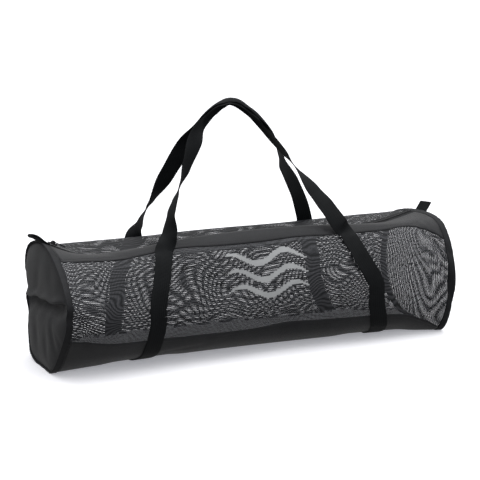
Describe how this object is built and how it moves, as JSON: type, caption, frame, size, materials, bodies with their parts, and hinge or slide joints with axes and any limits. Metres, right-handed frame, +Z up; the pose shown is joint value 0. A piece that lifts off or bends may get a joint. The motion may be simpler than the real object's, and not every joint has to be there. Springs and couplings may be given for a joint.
{
  "type": "mesh dive gear bag",
  "caption": "Long soft duffel with net walls, solid nylon bottom and end, top zipper and two webbing handles gathered in one grip, for carrying fins and masks.",
  "frame": {"origin": "on the resting plane under the middle of the bag", "axes": "+X along the bag away from its solid end, -Y to the front net, +Z up"},
  "size_m": [0.7528, 0.2761, 0.4318],
  "materials": {
    "nylon": "woven coated nylon, dark grey",
    "net": "coated open net, grey",
    "webbing": "woven polypropylene webbing, black",
    "tape": "woven zipper tape, black",
    "binding": "bound seam tape, dark grey",
    "coil": "nylon zipper coil, black",
    "zip_metal": "painted die-cast zinc, black"
  },
  "bodies": {
    "bag": {"bottom_panel": "nylon", "mesh_front": "net", "mesh_back": "net", "top_strip": "nylon", "zipper_tape": "tape", "zipper_coil": "coil", "end_binding_left": "binding", "end_binding_right": "binding", "end_panel_left": "nylon", "end_panel_right": "net", "end_tab_left": "webbing", "end_tab_right": "webbing", "strap_left": "webbing", "strap_right": "webbing", "handle_front": "webbing", "handle_back": "webbing", "zip_slider": "zip_metal"},
    "zip_pull": {"zip_pull": "zip_metal"}
  },
  "joints": [
    {"name": "zip_pull_swing", "type": "hinge", "parent": "bag", "child": "zip_pull", "pos_m": [-0.33473, -0.00866, 0.21274], "axis": [0.1665, -0.984, 0.0641], "range_deg": [0, 150]}
  ]
}
